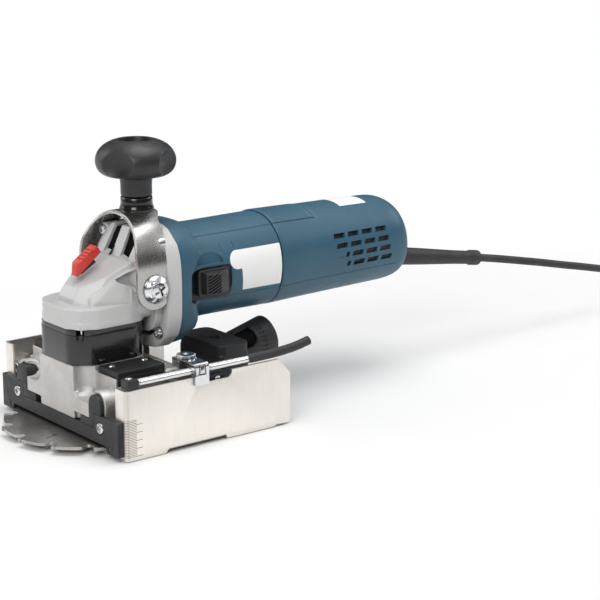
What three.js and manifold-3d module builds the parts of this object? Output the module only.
// Biscuit joiner / undercut jamb saw: an angle-drive motor unit that slides on two rails
// in an open box-shaped base. Millimetres, +Z up. -Y is the cutting direction (front),
// +X is the switch side (left hand of the tool). The machine is fully plunged.
// Pieces are drawn with y = 0 at the fence face and z = 0 under the base; the root group
// then moves the origin straight below the spindle.
import * as THREE from "three";
import { ConvexGeometry } from "three/addons/geometries/ConvexGeometry.js";
import { mergeVertices } from "three/addons/utils/BufferGeometryUtils.js";
import Module from "manifold-3d";

// ---------- driving dimensions ----------
const GAP = 0.3;               // running gap
const SPINDLE_Y = 28;          // spindle axis behind the fence face
const BASE_HALF = 72.5;        // half width of the base shell
const BASE_LEN = 129;          // rear edge of the base shell
const BASE_TOP = 44.2;         // top edge of the side panels
const SHEET = 1.5;             // stainless sheet
const PLUNGE = 32.5;           // carriage stroke
const FENCE_HALF = 69.3;       // half width of the fence plate
const FENCE_T = 4;             // fence plate thickness
const FENCE_TOP = 24.3;        // top of the fence plate's end uprights
const FENCE_STEP_X = 42.65;    // inner edge of the uprights
const FENCE_STEP_Z = 15;       // top of the fence plate between them
const FENCE_SCREW = [49.8, 16.6];   // x, z
const MOUNT_Z = 8.6;           // underside of the guide rails and dust hood
const RAIL_X = 43.7;           // rail centre
const RAIL_W = 13;             // rail rib width
const RAIL_TOP = 36.5;         // crown of the rail rib
const RAIL_END = 94.5;         // rear end of the rail
const BLADE_R = 60.5;
const BLADE_Z = 4.2;           // blade mid plane
const BLADE_T = 1.8;           // blade thickness
const MOTOR_Z = 92.5;          // motor axis height
const HANDLE_R = 31;           // barrel radius
const FLANGE_W = 36.4;         // half width of the collar behind the gear housing
const FLANGE_H = 40.3;         // its half height
const FLANGE_Z = 88.9;         // its centre height
const NECK_Y = 66.5;           // rear face of the gear housing
const FLANGE_Y = 71.7;         // rear face of the collar
const KNOB_Y = 62;
const HEAD_W = 27.3;           // half width of the square head outline
const HEAD_R = 15.5;           // its corner radius
const HEAD_Y = 27;             // its centre
const HEAD_SCREW = 19.8;       // head screws, offset from the centre in x and y
const RING_Z0 = 49.4;          // head spacer, bottom
const RING_Z1 = 68.2;          // head spacer, top
const CAP_Z1 = 71.3;           // bearing flange, top
const DECK_Z = 84;             // top of the gear housing's square base
const STRAP_X = 34.5;          // outer half width of the bow strap
const STRAP_T = 2.3;           // strap thickness
const STRAP_TOP = 138;
const PIVOT = [52.9, 92.8];    // strap pivot y, z
const ROD = [69, 47.5];        // depth rod axis x, z
const HOOD_X = 11.5;           // dust hood centre
const HOOD_Y = 113;
const CLIP_SCREW = [56.5, 59.5];    // depth stop clip screw x, y

// ---------- helpers ----------
const wasm = await Module();
wasm.setup();

// three.js geometry to a solid, turned right side out if its volume is negative
function solid(geometry) {
  for (const key of Object.keys(geometry.attributes)) {
    if (key !== "position") geometry.deleteAttribute(key);
  }
  const merged = mergeVertices(geometry, 1e-4);
  const points = merged.attributes.position.array;
  const index = Array.from(merged.index.array);
  const corner = (i) => new THREE.Vector3().fromArray(points, index[i] * 3);
  let volume = 0;
  for (let i = 0; i < index.length; i += 3) {
    volume += corner(i).dot(corner(i + 1).cross(corner(i + 2)));
  }
  if (volume < 0) {
    for (let i = 0; i < index.length; i += 3) {
      [index[i], index[i + 1]] = [index[i + 1], index[i]];
    }
  }
  return new wasm.Manifold(new wasm.Mesh({
    numProp: 3,
    vertProperties: new Float32Array(points),
    triVerts: new Uint32Array(index),
  }));
}
const join = (...shapes) => shapes.reduce((sum, shape) => sum.add(shape));
const cut = (body, ...tools) => tools.reduce((rest, tool) => rest.subtract(tool), body);
const mirrorX = (shape) => shape.mirror([1, 0, 0]);
const withMirror = (shape) => join(shape, mirrorX(shape));
// tips a shape about X, then moves it to a place
const tipped = (shape, degrees, place) => shape.rotate([degrees, 0, 0]).translate(place);

function box(x0, x1, y0, y1, z0, z1) {
  const geometry = new THREE.BoxGeometry(x1 - x0, y1 - y0, z1 - z0);
  geometry.translate((x0 + x1) / 2, (y0 + y1) / 2, (z0 + z1) / 2);
  return solid(geometry);
}

// lays a shape made along Y onto an axis; (a, b) are the two other coordinates in x, y, z order
function layAlong(geometry, axis, a, b) {
  if (axis === "x") geometry.rotateZ(-Math.PI / 2).translate(0, a, b);
  if (axis === "y") geometry.translate(a, 0, b);
  if (axis === "z") geometry.rotateX(Math.PI / 2).translate(a, b, 0);
  return geometry;
}

// round bar along an axis
function bar(axis, radius, from, to, a, b, sides) {
  const geometry = new THREE.CylinderGeometry(radius, radius, to - from, sides);
  geometry.translate(0, (from + to) / 2, 0);
  return solid(layAlong(geometry, axis, a, b));
}
const barsAt = (places, axis, radius, from, to, sides) =>
  places.map(([a, b]) => bar(axis, radius, from, to, a, b, sides));

// body turned about an axis from a profile of [radius, place along the axis]
function turned(axis, profile, a, b, sides) {
  const points = profile.map(([radius, place]) => new THREE.Vector2(radius, place));
  return solid(layAlong(new THREE.LatheGeometry(points, sides), axis, a, b));
}

function tube(axis, outer, inner, from, to, a, b, sides = 18) {
  const profile = [[inner, from], [outer, from], [outer, to], [inner, to], [inner, from]];
  return turned(axis, profile, a, b, sides);
}

const shapeOf = (points) => new THREE.Shape(points.map(([u, v]) => new THREE.Vector2(u, v)));

// flat outline pushed along an axis: z takes (x, y) points, y takes (x, z), x takes (y, z)
function plate(axis, from, to, points) {
  const geometry = new THREE.ExtrudeGeometry(shapeOf(points), {
    depth: to - from,
    bevelEnabled: false,
  });
  geometry.translate(0, 0, axis === "y" ? -to : from);
  if (axis === "y") geometry.rotateX(Math.PI / 2);
  if (axis === "x") {
    const [X, Y, Z] = [[1, 0, 0], [0, 1, 0], [0, 0, 1]].map((v) => new THREE.Vector3(...v));
    geometry.applyMatrix4(new THREE.Matrix4().makeBasis(Y, Z, X));
  }
  return solid(geometry);
}

// points on a circle, angles in degrees
function arc(centreU, centreV, radius, start, end, steps) {
  return Array.from({ length: steps + 1 }, (_, i) => {
    const angle = (start + (end - start) * i / steps) * Math.PI / 180;
    return [centreU + radius * Math.cos(angle), centreV + radius * Math.sin(angle)];
  });
}

function roundRect(centreU, centreV, halfU, halfV, radius, steps) {
  const [du, dv] = [halfU - radius, halfV - radius];
  return [
    ...arc(centreU + du, centreV - dv, radius, -90, 0, steps),
    ...arc(centreU + du, centreV + dv, radius, 0, 90, steps),
    ...arc(centreU - du, centreV + dv, radius, 90, 180, steps),
    ...arc(centreU - du, centreV - dv, radius, 180, 270, steps),
  ];
}

// body lofted along Y through superellipse rings
// [y, half width, half height, z centre, exponent]
function loft(rings, sides = 24) {
  const points = [];
  const index = [];
  for (const [y, halfWidth, halfHeight, centreZ, exponent] of rings) {
    const bulge = (value) => Math.sign(value) * Math.abs(value) ** (2 / exponent);
    for (let i = 0; i < sides; i++) {
      const angle = (i + 0.5) / sides * 2 * Math.PI;
      const x = halfWidth * bulge(Math.cos(angle));
      points.push(x, y, centreZ + halfHeight * bulge(Math.sin(angle)));
    }
  }
  const last = (rings.length - 1) * sides;
  for (let start = 0; start < last; start += sides) {
    for (let i = 0; i < sides; i++) {
      const here = start + i;
      const next = start + (i + 1) % sides;
      index.push(here, next, next + sides, here, next + sides, here + sides);
    }
  }
  for (let i = 1; i + 1 < sides; i++) {
    index.push(0, i + 1, i, last, last + i, last + i + 1);
  }
  const geometry = new THREE.BufferGeometry();
  geometry.setAttribute("position", new THREE.Float32BufferAttribute(points, 3));
  geometry.setIndex(index);
  return solid(geometry);
}

const vectors = (points) => points.map((point) => new THREE.Vector3(...point));
const hullOf = (points) => solid(new ConvexGeometry(vectors(points)));
// hull of the points and their mirror images
const hullBothSides = (points) =>
  hullOf(points.flatMap(([x, y, z]) => [[x, y, z], [-x, y, z]]));

function hoseAlong(points, radius, steps, sides) {
  const section = shapeOf(arc(0, 0, radius, 0, 360 - 360 / sides, sides - 1));
  const extrudePath = new THREE.CatmullRomCurve3(vectors(points));
  const options = { steps, bevelEnabled: false, extrudePath };
  return solid(new THREE.ExtrudeGeometry(section, options));
}

// ---------- materials ----------
const standard = (settings) => new THREE.MeshStandardMaterial(settings);
const finish = {
  stainless: standard({ color: 0xd9d2c6, roughness: 0.32, metalness: 1 }),
  blackPlastic: standard({ color: 0x232426, roughness: 0.55, metalness: 0 }),
  blackGloss: standard({ color: 0x1b1c1e, roughness: 0.25, metalness: 0 }),
  blackSteel: standard({ color: 0x2a2b2e, roughness: 0.45, metalness: 0.6 }),
  cast: standard({ color: 0xb4b0a8, roughness: 0.6, metalness: 0.9 }),
  greyPaint: standard({ color: 0xc4c4c2, roughness: 0.4, metalness: 0.1 }),
  blue: standard({ color: 0x2f5a73, roughness: 0.42, metalness: 0 }),
  zinc: standard({ color: 0xd0d2d6, roughness: 0.25, metalness: 1 }),
  steel: standard({ color: 0xa9abb0, roughness: 0.3, metalness: 1 }),
  strap: standard({ color: 0xb6b4b0, roughness: 0.35, metalness: 1 }),
  red: standard({ color: 0xc8322a, roughness: 0.35, metalness: 0 }),
  rubber: standard({ color: 0x1d1e20, roughness: 0.8, metalness: 0 }),
  copper: standard({ color: 0xa9643a, roughness: 0.4, metalness: 0.9 }),
  iron: standard({ color: 0x6f7073, roughness: 0.5, metalness: 0.8 }),
  carbon: standard({ color: 0x2b2b2c, roughness: 0.7, metalness: 0.2 }),
  spring: standard({ color: 0x9c9ea2, roughness: 0.35, metalness: 1 }),
};

const root = new THREE.Group();
root.position.set(0, -SPINDLE_Y, 0);
function add(name, shape, material) {
  const { vertProperties, triVerts } = shape.getMesh();
  const geometry = new THREE.BufferGeometry();
  geometry.setAttribute("position", new THREE.Float32BufferAttribute(vertProperties, 3));
  geometry.setIndex(Array.from(triVerts));
  const mesh = new THREE.Mesh(geometry, material);
  mesh.name = name;
  root.add(mesh);
}
// adds the left-hand shape and its mirror image
function addPair(name, left, material) {
  add(`${name}_left`, left, material);
  add(`${name}_right`, mirrorX(left), material);
}

// ================= base =================
const LIP_X = 61.5;            // inner end of the wall's front lip
const CORNER_R = 2.5;          // outside radius of the wall's front corner
const NUT_HOLE_Y = SPINDLE_Y + PLUNGE + 4;

function sideWall() {
  const [x, y] = [BASE_HALF - CORNER_R, FENCE_T + CORNER_R];
  const wall = plate("z", 0.01, BASE_TOP, [
    [LIP_X, FENCE_T], ...arc(x, y, CORNER_R, -90, 0, 4),
    [BASE_HALF, BASE_LEN], [BASE_HALF - SHEET, BASE_LEN],
    ...arc(x, y, CORNER_R - SHEET, 0, -90, 3), [LIP_X, FENCE_T + SHEET],
  ]);
  const rearCorner = [[119, 50], [119, BASE_TOP + 1.1], [BASE_LEN + 1, 33.2], [BASE_LEN + 1, 50]];
  return cut(wall, plate("x", 60, 80, rearCorner));
}

function baseShell() {
  const wall = sideWall();
  const floor = plate("z", 0, SHEET, [
    [-BASE_HALF, 6], ...arc(-BASE_HALF + 2, 6, 2, 180, 270, 3),
    ...arc(BASE_HALF - 2, 6, 2, -90, 0, 3), [BASE_HALF, BASE_LEN], [-BASE_HALF, BASE_LEN],
  ]);
  // notches in the top and bottom edges of the left wall only
  const topNotch = [[57, 50], [57, 39.6], ...arc(79.5, 43.1, 3.5, -90, 0, 4), [83, 50]];
  const bottomNotch = [[32, -1], [35, 2.6], [78, 2.6], [80, -1]];
  return cut(
    join(floor, cut(wall, plate("x", 70, 73, topNotch)), mirrorX(wall)),
    bar("z", 17, -1, 3, 0, NUT_HOLE_Y, 32),
    plate("x", 70, 73, bottomNotch));
}
add("base_shell", baseShell(), finish.stainless);

function fencePlate() {
  const outline = [
    [-FENCE_HALF, 2.5], [-57, 2.5], [-56, 6.6], [56, 6.6], [57, 2.5], [FENCE_HALF, 2.5],
    [FENCE_HALF, FENCE_TOP], [FENCE_STEP_X, FENCE_TOP], [FENCE_STEP_X, FENCE_STEP_Z],
    [-FENCE_STEP_X, FENCE_STEP_Z], [-FENCE_STEP_X, FENCE_TOP], [-FENCE_HALF, FENCE_TOP],
  ];
  return cut(plate("y", 0, FENCE_T - GAP, outline),
    withMirror(bar("y", 3.9, -1, 1.3, ...FENCE_SCREW, 20)),
    withMirror(bar("y", 2.3, 1, 5, ...FENCE_SCREW, 16)));
}
add("fence_plate", fencePlate(), finish.blackSteel);
addPair("fence_screw", turned("y", [
  [0, -0.5], [2.4, -0.5], [3.4, 0.1], [3.4, 1.0], [1.9, 1.0], [1.9, 12], [0, 12],
], ...FENCE_SCREW, 16), finish.zinc);

// room for the fence plate in the parts behind it
const FENCE_BACK = FENCE_T + 0.02;
const fenceRoom = join(
  box(-75, 75, -2, FENCE_BACK, 2, FENCE_STEP_Z + GAP),
  withMirror(box(FENCE_STEP_X - GAP, 75, -2, FENCE_BACK, 2, FENCE_TOP + GAP)));

// round-topped outline (x, z) centred on the rail's crown arc
function ribOutline(halfWidth, bottom) {
  return [
    [RAIL_X - halfWidth, bottom], [RAIL_X + halfWidth, bottom],
    ...arc(RAIL_X, RAIL_TOP - RAIL_W / 2, halfWidth, 0, 180, 8),
  ];
}

function guideRail() {
  return cut(
    join(
      plate("y", 0, RAIL_END, ribOutline(RAIL_W / 2, MOUNT_Z)),
      box(27, 60, 0, RAIL_END, MOUNT_Z, 20),
      box(59, 70.6, 5.8, RAIL_END, MOUNT_Z, 20)),
    fenceRoom, bar("y", 2.3, 3, 14, ...FENCE_SCREW, 16));
}
addPair("guide_rail", guideRail(), finish.blackSteel);

// dust hood: low box over the rear of the blade with a raised top pad and an open front
const HOOD_SCREW = [12.2, 112.7];
const NOZZLE_TILT = 0.16 * 180 / Math.PI;
const placeNozzle = (shape) => tipped(shape, NOZZLE_TILT, [HOOD_X, 124.5, 35.4]);

function dustHood() {
  const body = join(
    plate("z", MOUNT_Z, 40, roundRect(HOOD_X, HOOD_Y, 24, 11.7, 3, 3)),
    plate("z", 39.9, 47, roundRect(HOOD_X, HOOD_Y, 24, 12, 5, 4)),
    box(-40, 26.4, 102, 124.5, MOUNT_Z, 11),
    box(HOOD_X - 14, HOOD_X + 14, 118, 124.9, 22, 46));
  return cut(body,
    box(HOOD_X - 21.5, HOOD_X + 21.5, 103.5, 122.5, 5, 36),
    box(HOOD_X - 18, HOOD_X + 18, 95, 110, 7, 30),
    placeNozzle(bar("y", 9.6, -6, 20, 0, 0, 24)),
    bar("z", 1.9, 36, 50, ...HOOD_SCREW, 16), bar("z", 3.9, 45, 50, ...HOOD_SCREW, 16));
}
add("dust_hood", dustHood(), finish.blackPlastic);
add("dust_hood_screw", turned("z", [
  [0, 38], [1.6, 38], [1.6, 45.2], [3.5, 45.2], [3.5, 46.6], [2.6, 47.2], [0, 47.2],
], ...HOOD_SCREW, 14), finish.zinc);
add("dust_nozzle", placeNozzle(turned("y", [
  [9.3, -3.5], [9.3, 2.8], [11.6, 2.8], [14.3, 31.5], [12.6, 31.5], [9.9, 4.5], [8, -3.5],
  [9.3, -3.5],
], 0, 0, 28)), finish.blackPlastic);

// compression spring between the fence side and a carriage lug
function returnSpring() {
  const [turns, stepsPerTurn, coilR, wireR] = [4, 8, 3.4, 0.75];
  const steps = turns * stepsPerTurn;
  const path = arc(64.8, 27, coilR, 0, 360 * turns, steps)
    .map(([x, z], i) => [x, 7.2 + 12.3 * i / steps, z]);
  return hoseAlong(path, wireR, steps, 4);
}
addPair("return_spring", returnSpring(), finish.spring);

// ================= carriage =================
const CARRIAGE_Z = 20.3;       // underside of the casting beside the head
const COVER_SCREWS = [[33, 19.7], [33, 43.8]];   // x, y on the left side
const headOutline = (grow, steps = 5) =>
  roundRect(0, HEAD_Y, HEAD_W + grow, HEAD_W + grow, HEAD_R + grow, steps);

function carriageCasting() {
  const headFront = HEAD_Y - HEAD_W;
  const headTop = RING_Z0 - GAP;
  const body = join(
    plate("z", 15.4, headTop, headOutline(0)),
    box(-30, 30, 4.6, 50, CARRIAGE_Z, 44),
    box(-49.9, 49.9, 12, 60, CARRIAGE_Z, 45.5),
    withMirror(plate("y", 2.4, 17, ribOutline(8.9, CARRIAGE_Z))),
    box(-27.4, 27.4, headFront, 14, 15.4, headTop),
    box(-42, 42, headFront, 14, CARRIAGE_Z, 33),
    box(44, 63, 47.8, 64, 38.4, 44.2), box(50.5, 62.5, 54.9, 64, 38.4, 51),   // clip seat
    withMirror(box(49, 68.6, 20.2, 23.2, 21, 33)));                           // spring lugs
  return cut(body,
    withMirror(plate("y", -2, 110, ribOutline(RAIL_W / 2 + GAP, 5))),
    withMirror(bar("z", 10.4, 31, 60, 30.6, 1.5, 24)),   // hollows at the front corners
    fenceRoom,
    withMirror(box(27.8, 60, 13.5, 47.5, 40, 60)),       // slide cover pockets
    withMirror(box(26.5, 80, -5, 70, 10, CARRIAGE_Z)),
    bar("z", 11, 10, 60, 0, SPINDLE_Y, 32), bar("z", 16.2, 30, 60, 0, SPINDLE_Y, 32),
    bar("z", 1.9, 42, 60, ...CLIP_SCREW, 14),
    withMirror(join(...barsAt(COVER_SCREWS, "z", 1.6, 34, 45, 12))));
}
add("carriage_casting", carriageCasting(), finish.cast);

const slideCover = cut(
  box(27.9, 49.9, 13.8, 47.2, 40.3, 49),
  plate("z", 35, 60, headOutline(0.35)),
  ...barsAt(COVER_SCREWS, "z", 1.8, 35, 60, 12),
  ...barsAt(COVER_SCREWS, "z", 3.1, 47.6, 60, 14));
const COVER_SCREW_PROFILE = [
  [0, 36], [1.3, 36], [1.3, 47.8], [2.7, 47.8], [2.7, 48.8], [1.8, 49.4], [0, 49.4],
];
add("slide_cover_left", slideCover, finish.blackPlastic);
COVER_SCREWS.forEach((place, i) => {
  const screw = turned("z", COVER_SCREW_PROFILE, ...place, 12);
  add(`slide_cover_screw_left_${i + 1}`, screw, finish.zinc);
});
add("slide_cover_right", mirrorX(slideCover), finish.blackPlastic);

// front pair of head screws first
const HEAD_SCREWS = [HEAD_Y - HEAD_SCREW, HEAD_Y + HEAD_SCREW]
  .flatMap((y) => [[HEAD_SCREW, y], [-HEAD_SCREW, y]]);
function headLayer(bottom, top, grow) {
  return cut(plate("z", bottom, top, headOutline(grow, 6)),
    bar("z", 20, 40, 80, 0, SPINDLE_Y, 32), ...barsAt(HEAD_SCREWS, "z", 1.8, 60, 75, 10));
}
add("head_spacer", headLayer(RING_Z0, RING_Z1, 0), finish.blackGloss);
add("bearing_flange", headLayer(RING_Z1 + 0.1, CAP_Z1, -0.3), finish.blackGloss);

// gear housing: front nose, steep vent face and rear neck round the pinion
// hull corners [x, y, z] of the left half
const NOSE_CORNERS = [
  [10, 7.5, 83], [9, 12.5, 92.5], [14, 17, 91], [18.5, 28.6, 101.8], [21, 22, 83],
  [22, 43.5, 109], [24.8, 45.5, 107], [26.4, 44, DECK_Z], [24.8, 60, 107], [22, 60, 109],
  [26.4, 60, DECK_Z],
];
const NECK_CORNERS = [
  [26, 45.5, DECK_Z], [24.8, 45.5, 107.5], [20, 45.5, 109.5], [12, 52.5, 127.4],
  [20, 51, 122], [26, 48, 111], [26, NECK_Y, DECK_Z], [26, NECK_Y, 111],
  [20, NECK_Y, 122], [12, NECK_Y, 127.4],
];
const LOCK_POCKET_CORNERS = [
  [4.6, 12.5, 92.4], [4.6, 38.5, 106.4], [4.6, 8, 120], [4.6, 38, 124],
];
const AIR_SLOT = [[40, 110.9], [56, 110.9], [59.5, 122], [57, 130], [40, 130]];   // y, z

function gearHousing() {
  const body = join(
    plate("z", CAP_Z1 + 0.15, DECK_Z, headOutline(0.2, 6)),
    hullBothSides(NOSE_CORNERS),
    withMirror(bar("x", 10, 20, 31.9, ...PIVOT, 24)),
    hullBothSides(NECK_CORNERS),
    plate("y", 40, NECK_Y, roundRect(0, 84, 26, 12.3, 6, 3)));
  return cut(body,
    // bores on the spindle axis
    bar("z", 21.5, 60, 83, 0, SPINDLE_Y, 28), bar("z", 11, 80, 88.5, 0, SPINDLE_Y, 24),
    bar("z", 8.3, 85, 98.2, 0, SPINDLE_Y, 20),
    // bores on the motor axis
    bar("y", 10.5, 28, 62, 0, MOTOR_Z, 24), bar("y", 14.3, 56.5, 80, 0, MOTOR_Z, 28),
    withMirror(bar("x", 3.8, 17, 40, ...PIVOT, 16)),
    ...barsAt(HEAD_SCREWS, "z", 1.5, 66, 80, 10),
    // one tall air slot on each side of the centre rib in the vent face
    withMirror(plate("x", 4.3, 12.3, AIR_SLOT)),
    hullBothSides(LOCK_POCKET_CORNERS));
}
add("gear_housing", gearHousing(), finish.greyPaint);
HEAD_SCREWS.slice(0, 2).forEach((place, i) => {
  const screw = turned("z", [[0, 60.5], [1.3, 60.5], [1.3, 79], [0, 79]], ...place, 10);
  add(`housing_screw_${i + 1}`, screw, finish.zinc);
});

// spindle lock button: sits in the nose slope and presses in along its normal
const LOCK_TILT = 28.5;
const lockBlock = (width, length, height, place) =>
  tipped(solid(new THREE.BoxGeometry(width, length, height)), LOCK_TILT, place);
add("spindle_lock_button", join(
  lockBlock(7.6, 23, 6.4, [0, 24.4, 107.2]),
  lockBlock(5, 8, 1.4, [0, 26.0, 104.22])), finish.red);

// collar between gear housing and motor housing
const FLANGE_SCREWS = [[13, 57.5], [-13, 57.5], [27.5, 116.5], [-27.5, 116.5]];   // x, z
const FLANGE_RINGS = [
  [NECK_Y + GAP, FLANGE_W - 2.4, FLANGE_H - 2.4, FLANGE_Z, 3],
  [69.4, FLANGE_W, FLANGE_H, FLANGE_Z, 3], [FLANGE_Y, FLANGE_W, FLANGE_H, FLANGE_Z, 3],
];
add("gearbox_flange", cut(loft(FLANGE_RINGS, 28), bar("y", 14.3, 60, 80, 0, MOTOR_Z, 28),
  ...barsAt(FLANGE_SCREWS, "y", 1.8, 60, 80, 10)), finish.greyPaint);
[FLANGE_SCREWS[0], FLANGE_SCREWS[3]].forEach((place, i) => {
  add(`flange_screw_${i + 1}`, turned("y", [
    [0, 64.2], [2.2, 64.2], [3.2, 65.1], [3.2, 66.5], [1.4, 66.5], [1.4, 77], [0, 77],
  ], ...place, 12), finish.zinc);
});

// motor housing (front barrel); rings as in loft()
const GRIP_POWER = 2.15;       // superellipse exponent of the grip
const BARREL_RINGS = [
  [72, FLANGE_W, FLANGE_H, FLANGE_Z, 3], [80, 36, 39.6, 89.3, 2.9],
  [87, 34.8, 37.4, 90.2, 2.7], [94, 32.8, 34, 91.6, 2.4],
  [101, HANDLE_R, 31.4, MOTOR_Z, GRIP_POWER], [155, 31.6, 31.6, MOTOR_Z, GRIP_POWER],
];
const BARREL_BORE_RINGS = [
  [70, 30.5, 33, 90, 2.6], [84, 30, 32, 91, 2.5], [95, 28.6, 29, MOTOR_Z, 2.2],
  [104, 28.4, 28.4, MOTOR_Z, 2.1], [160, 28.4, 28.4, MOTOR_Z, 2.1],
];
function motorHousing() {
  const outer = loft(BARREL_RINGS);
  const screwLugs = withMirror(join(
    box(9.5, 16.5, 72, 84, 45, 62), box(24, 40, 72, 84, 112.5, 120)));
  return cut(join(cut(outer, loft(BARREL_BORE_RINGS)), screwLugs.intersect(outer)),
    box(31.2, 42, 84, 121, 81.5, 99.5),   // well for the switch slider
    box(26, 42, 93.5, 113, 86, 95),       // slot through the well floor
    ...barsAt(FLANGE_SCREWS, "y", 1.8, 70, 88, 10));
}
add("motor_housing", motorHousing(), finish.blue);

// rear cover (grip) with the cord leaving low at its rear end; rings as in loft()
const CORD_TILT = Math.atan2(-11.4, 71.9) * 180 / Math.PI;
const placeOnCord = (shape) => tipped(shape, CORD_TILT, [0, 275.2, 76.4]);
const COVER_RINGS = [
  [155.4, 31.7, 31.7, MOTOR_Z, GRIP_POWER], [192, 30.9, 31.1, MOTOR_Z + 0.2, GRIP_POWER],
  [250, 29.9, 30.1, MOTOR_Z + 0.2, GRIP_POWER], [258, 29.6, 29.8, MOTOR_Z + 0.1, GRIP_POWER],
  [264.5, 28.4, 28.6, MOTOR_Z, GRIP_POWER], [269.5, 25.9, 26, MOTOR_Z - 0.2, GRIP_POWER],
  [272.4, 22.4, 22.4, MOTOR_Z - 0.4, GRIP_POWER], [273.8, 18, 18, MOTOR_Z - 0.5, 2],
];
const COVER_BORE_RINGS = [
  [140, 28.4, 28.4, MOTOR_Z, 2.1], [160, 28.4, 28.4, MOTOR_Z, 2.1],
  [250, 27.2, 27.4, MOTOR_Z + 0.1, 2.1], [262, 26.2, 26.4, MOTOR_Z, 2.1],
  [268.5, 22.6, 22.8, MOTOR_Z - 0.2, 2.1],
];
// four by four slots on each side, each row set back from the one above
function gripVents() {
  const vents = [];
  for (let row = 0; row < 4; row++) {
    for (let column = 0; column < 4; column++) {
      const y = 201 + column * 12.4 + row * 1.5;
      const z = 105 - row * 6.4;
      vents.push(withMirror(box(20, 40, y, y + 9.2, z - 1.4, z + 1.4)));
    }
  }
  return vents;
}
function rearCover() {
  const bulkhead = cut(bar("y", 27.6, 221, 233, 0, MOTOR_Z, 24),
    bar("y", 11.3, 219.5, 231.3, 0, MOTOR_Z, 20), bar("y", 6, 219, 240, 0, MOTOR_Z, 16));
  return cut(join(cut(loft(COVER_RINGS), loft(COVER_BORE_RINGS)), bulkhead),
    ...gripVents(), placeOnCord(bar("y", 5.4, -16, 5, 0, 0, 16)));
}
add("rear_cover", rearCover(), finish.blue);

// bearings, stator, brush gear
add("spindle_bearing_lower", tube("z", 15.9, 6.3, 30.3, 40, 0, SPINDLE_Y), finish.steel);
add("spindle_bearing_upper", tube("z", 8, 5.3, 88.9, 97.8, 0, SPINDLE_Y, 20), finish.steel);
add("armature_bearing_front", tube("y", 14, 4.3, 57, 66.2, 0, MOTOR_Z), finish.steel);
add("armature_bearing_rear", tube("y", 11, 4.3, 221.8, 230.8, 0, MOTOR_Z), finish.steel);
add("stator_core", cut(bar("y", 27.8, 116, 168, 0, MOTOR_Z, 24),
  bar("y", 17.4, 110, 175, 0, MOTOR_Z, 24)), finish.iron);
add("brush_carrier", join(
  cut(tube("y", 27, 12.2, 180, 190, 0, MOTOR_Z, 20),
    box(-26, 26, 181.7, 188.3, MOTOR_Z - 3.6, MOTOR_Z + 3.6)),
  tube("y", 27, 24, 179.9, 190.1, 0, MOTOR_Z, 20)), finish.blackPlastic);
addPair("carbon_brush", box(10.4, 22, 182, 188, MOTOR_Z - 3.3, MOTOR_Z + 3.3), finish.carbon);
add("power_switch", join(box(-10, 10, 240, 262, 80, 102), box(-3, 3, 236, 241, 88, 96)),
  finish.blackPlastic);

// cord with its strain relief
add("strain_relief", placeOnCord(turned("y", [
  [0, -10], [4.9, -10], [4.9, 0.9], [6.2, 0.9], [6.4, 6], [5.2, 60], [4.9, 78.8],
  [5.6, 80.3], [5.6, 87.8], [5, 88.8], [0, 88.8],
], 0, 0, 14)), finish.rubber);
const CORD_PATH = [[0, 364.3, 62.3], [0, 408, 53.7], [0, 455, 43.6], [0, 500, 33.8]];
add("power_cord", hoseAlong(CORD_PATH, 2.9, 10, 10), finish.rubber);

// depth stop clip: folded sheet that guides the rod, with a tongue in its side tab
function depthStopClip() {
  const sheet = join(
    box(50.6, 74.4, 52.9, 54.4, 44.6, 52.8),
    box(50.6, 74.4, 52.9, 64.5, 51.3, 52.8),
    box(72.9, 74.4, 52.9, 64.5, 38.8, 52.8));
  return cut(sheet,
    bar("y", 2.9, 50, 60, ...ROD, 16),
    // three slits round the tongue
    box(72, 76, 57, 57.6, 46, 51), box(72, 76, 61.4, 62, 46, 51),
    box(72, 76, 57, 62, 46, 46.6),
    bar("z", 1.9, 50, 60, ...CLIP_SCREW, 14));
}
add("depth_stop_clip", depthStopClip(), finish.zinc);
add("depth_clip_screw", turned("z", [
  [0, 43], [1.5, 43], [1.5, 53.1], [5.8, 53.1], [5.8, 54.7], [5.2, 55.1], [0, 55.1],
], ...CLIP_SCREW, 16), finish.zinc);

// ================= bow handle and knob =================
const BOW_Z = STRAP_TOP - STRAP_X;   // centre height of the bow's arch
const knobBolt = (top) => bar("z", 4.4, 120, top, 0, KNOB_Y, 16);
// strap outline (y, z) from the side: legs lean back towards the wider knob seat
const STRAP_SIDE = [
  [47.4, 142], [47.2, 136], [46.2, 132], [43.6, 124], [40.7, 114], [39.8, 101],
  ...arc(...PIVOT, 13.1, 180, 360, 14),
  [65.4, 101], [63.8, 106], [63.4, 116], [65, 126], [65.3, 134.5], [72, 136.7], [72, 142],
];
function bowStrap() {
  const inner = STRAP_X - STRAP_T;
  const band = plate("y", 30, 80, [
    [STRAP_X, 79], ...arc(0, BOW_Z, STRAP_X, 0, 180, 26), [-STRAP_X, 79],
    [-inner, 79], ...arc(0, BOW_Z, inner, 180, 0, 26), [inner, 79],
  ]);
  return cut(band.intersect(plate("x", -40, 40, STRAP_SIDE)),
    bar("x", 3.8, -40, 40, ...PIVOT, 16), knobBolt(145));
}
add("bow_strap", bowStrap(), finish.strap);
addPair("strap_screw", turned("x", [
  [0, 18], [3.4, 18], [3.4, 34.8], [9, 34.8], [9, 36.2], [7.2, 38.1], [3.5, 39.4], [0, 39.7],
], ...PIVOT, 20), finish.zinc);

const collarBlank = turned("z", [
  [0, 132], [11.6, 132], [11.6, 139], [10.2, 141], [10.2, 145.4], [0, 145.4],
], 0, KNOB_Y, 24);
add("knob_collar", cut(collarBlank, knobBolt(160),
  bar("y", STRAP_X + GAP, 30, 90, 0, BOW_Z, 48)), finish.blackPlastic);

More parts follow.
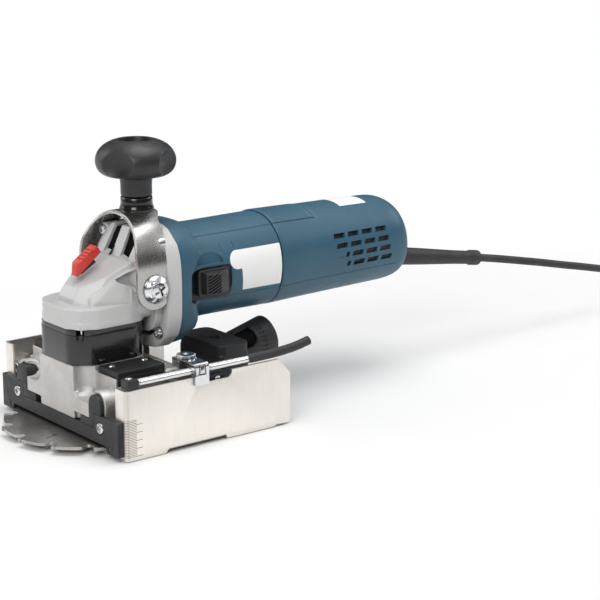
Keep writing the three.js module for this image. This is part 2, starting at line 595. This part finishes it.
const KNOB_PROFILE = [
  [0, 133], [3.9, 133], [3.9, 145.8], [10, 145.8], [10, 156], [14, 157.6], [22, 159.2],
  [25, 162.8], [25.6, 167.4], [24, 174.2], [20, 178.9], [14, 181.3], [11.6, 181.9],
  [10.4, 181], [10, 178.8], [7.4, 178.4], [7, 175], [0, 175],
];
// four ellipsoids that hollow the knob's rim
const knobHollows = arc(0, KNOB_Y, 41, -67, 203, 3).map(([x, y]) =>
  solid(new THREE.SphereGeometry(1, 16, 12).scale(20, 20, 18).translate(x, y, 168.5)));
add("knob", cut(turned("z", KNOB_PROFILE, 0, KNOB_Y, 28), ...knobHollows), finish.blackPlastic);

// ================= depth rod =================
const [ROD_X, ROD_Z] = ROD;
add("depth_rod", join(bar("y", 2.4, 14.2, 98, ...ROD, 14), bar("y", 1.6, 8, 15, ...ROD, 12)),
  finish.zinc);
const BLOCK_SCREW = [67.4, 10];   // x, y
add("rod_block", cut(box(64.6, 72.4, 6.3, 14.1, 44.6, 50.2),
  bar("y", 1.9, 7.7, 20, ...ROD, 12), bar("z", 1.3, 49.6, 60, ...BLOCK_SCREW, 10)),
  finish.blackPlastic);
add("rod_block_screw", turned("z", [
  [0, 49.75], [1, 49.75], [1, 50.3], [2, 50.3], [2, 51], [0, 51],
], ...BLOCK_SCREW, 10), finish.zinc);
add("rod_sleeve", hoseAlong([
  [ROD_X, 98.3, ROD_Z + 0.1], [ROD_X, 118, ROD_Z + 0.2],
  [ROD_X, 133, ROD_Z + 1.2], [ROD_X, 146, ROD_Z + 3.6],
], 2.95, 8, 12), finish.rubber);

// ================= spindle group =================
add("spindle", turned("z", [
  [0, 5.3], [5.6, 5.3], [5.6, 14.3], [6, 14.3], [6, 70], [5, 70], [5, 97.3], [0, 97.3],
], 0, SPINDLE_Y, 20), finish.steel);
add("inner_flange", turned("z", [
  [5.9, 5.5], [16, 5.5], [16, 8.5], [10.4, 11], [10.4, 14], [5.9, 14], [5.9, 5.5],
], 0, SPINDLE_Y, 24), finish.steel);

function bladeOutline(teeth) {
  const pitch = 360 / teeth;
  // [depth below the tip circle, degrees from the tooth tip]
  const tooth = [
    [0, 0], [0.4, 2.2], [2.2, pitch * 0.42], [3.6, pitch * 0.6], [9.5, pitch * 0.72],
    [11.5, pitch * 0.84], [8.5, pitch * 0.97],
  ];
  return Array.from({ length: teeth }, (_, i) => tooth.map(([depth, degrees]) => {
    const angle = (i * pitch - 7.5 + degrees) * Math.PI / 180;
    const radius = BLADE_R - depth;
    return [radius * Math.cos(angle), SPINDLE_Y + radius * Math.sin(angle)];
  })).flat();
}
add("saw_blade", cut(
  plate("z", BLADE_Z - BLADE_T / 2, BLADE_Z + BLADE_T / 2, bladeOutline(14)),
  bar("z", 10.2, 0, 9, 0, SPINDLE_Y, 24)), finish.steel);
add("blade_nut", turned("z", [
  [0, 1.85], [13.5, 1.85], [14, 2.2], [14, 3.0], [9.8, 3.0], [9.8, 4.9], [0, 4.9],
], 0, SPINDLE_Y, 24), finish.steel);

// straight-toothed outline round (0, centre)
function gearOutline(teeth, tipR, rootR, centre) {
  const tooth = [[0, rootR], [0.22, tipR], [0.5, tipR], [0.72, rootR]];   // pitch part, radius
  return Array.from({ length: teeth }, (_, i) => tooth.map(([part, radius]) => {
    const angle = (i + part) / teeth * 2 * Math.PI;
    return [radius * Math.cos(angle), centre + radius * Math.sin(angle)];
  })).flat();
}
add("crown_gear", cut(
  join(plate("z", 74.5, 82.6, gearOutline(24, 20.6, 18.4, SPINDLE_Y)),
    bar("z", 12, 70.5, 75, 0, SPINDLE_Y, 20)),
  bar("z", 6.2, 60, 90, 0, SPINDLE_Y, 20)), finish.steel);

// ================= armature group =================
add("armature_shaft", turned("y", [[0, 43.5], [4, 43.5], [4, 231], [0, 231]], 0, MOTOR_Z, 16),
  finish.steel);
add("pinion_gear", cut(plate("y", 44.2, 52, gearOutline(8, 8.6, 6.8, MOTOR_Z)),
  bar("y", 4.2, 40, 60, 0, MOTOR_Z, 16)), finish.steel);

function coolingFan() {
  const bladeCount = 9;
  const blades = Array.from({ length: bladeCount }, (_, i) =>
    box(-0.7, 0.7, 97, 105, 7, 23).rotate([0, i * 360 / bladeCount, 0])
      .translate([0, 0, MOTOR_Z]));
  return join(tube("y", 24, 4.3, 104, 106, 0, MOTOR_Z),
    tube("y", 8, 4.3, 96, 105, 0, MOTOR_Z, 16), ...blades);
}
add("cooling_fan", coolingFan(), finish.blackPlastic);
add("armature_core", cut(bar("y", 16.4, 118, 166, 0, MOTOR_Z, 24),
  bar("y", 4.3, 110, 175, 0, MOTOR_Z, 16)), finish.copper);
add("commutator", tube("y", 9.9, 4.3, 176, 192, 0, MOTOR_Z, 24), finish.copper);

// ================= switch slider =================
const THUMB_PAD = [
  [35.5, 96, 83.6], [35.5, 118, 84], [35.5, 96, 97.4], [35.5, 118, 97], [38.6, 98, 85],
  [38.6, 104, 85], [38.6, 98, 96], [38.6, 104, 96], [36.6, 116, 86], [36.6, 116, 95],
];
add("switch_slider", join(
  plate("x", 33.2, 35.6, roundRect(106.5, 90.5, 12, 7.6, 2, 3)),
  box(29, 33.4, 101, 110, 87, 94),
  hullOf(THUMB_PAD)), finish.blackPlastic);

export default root;
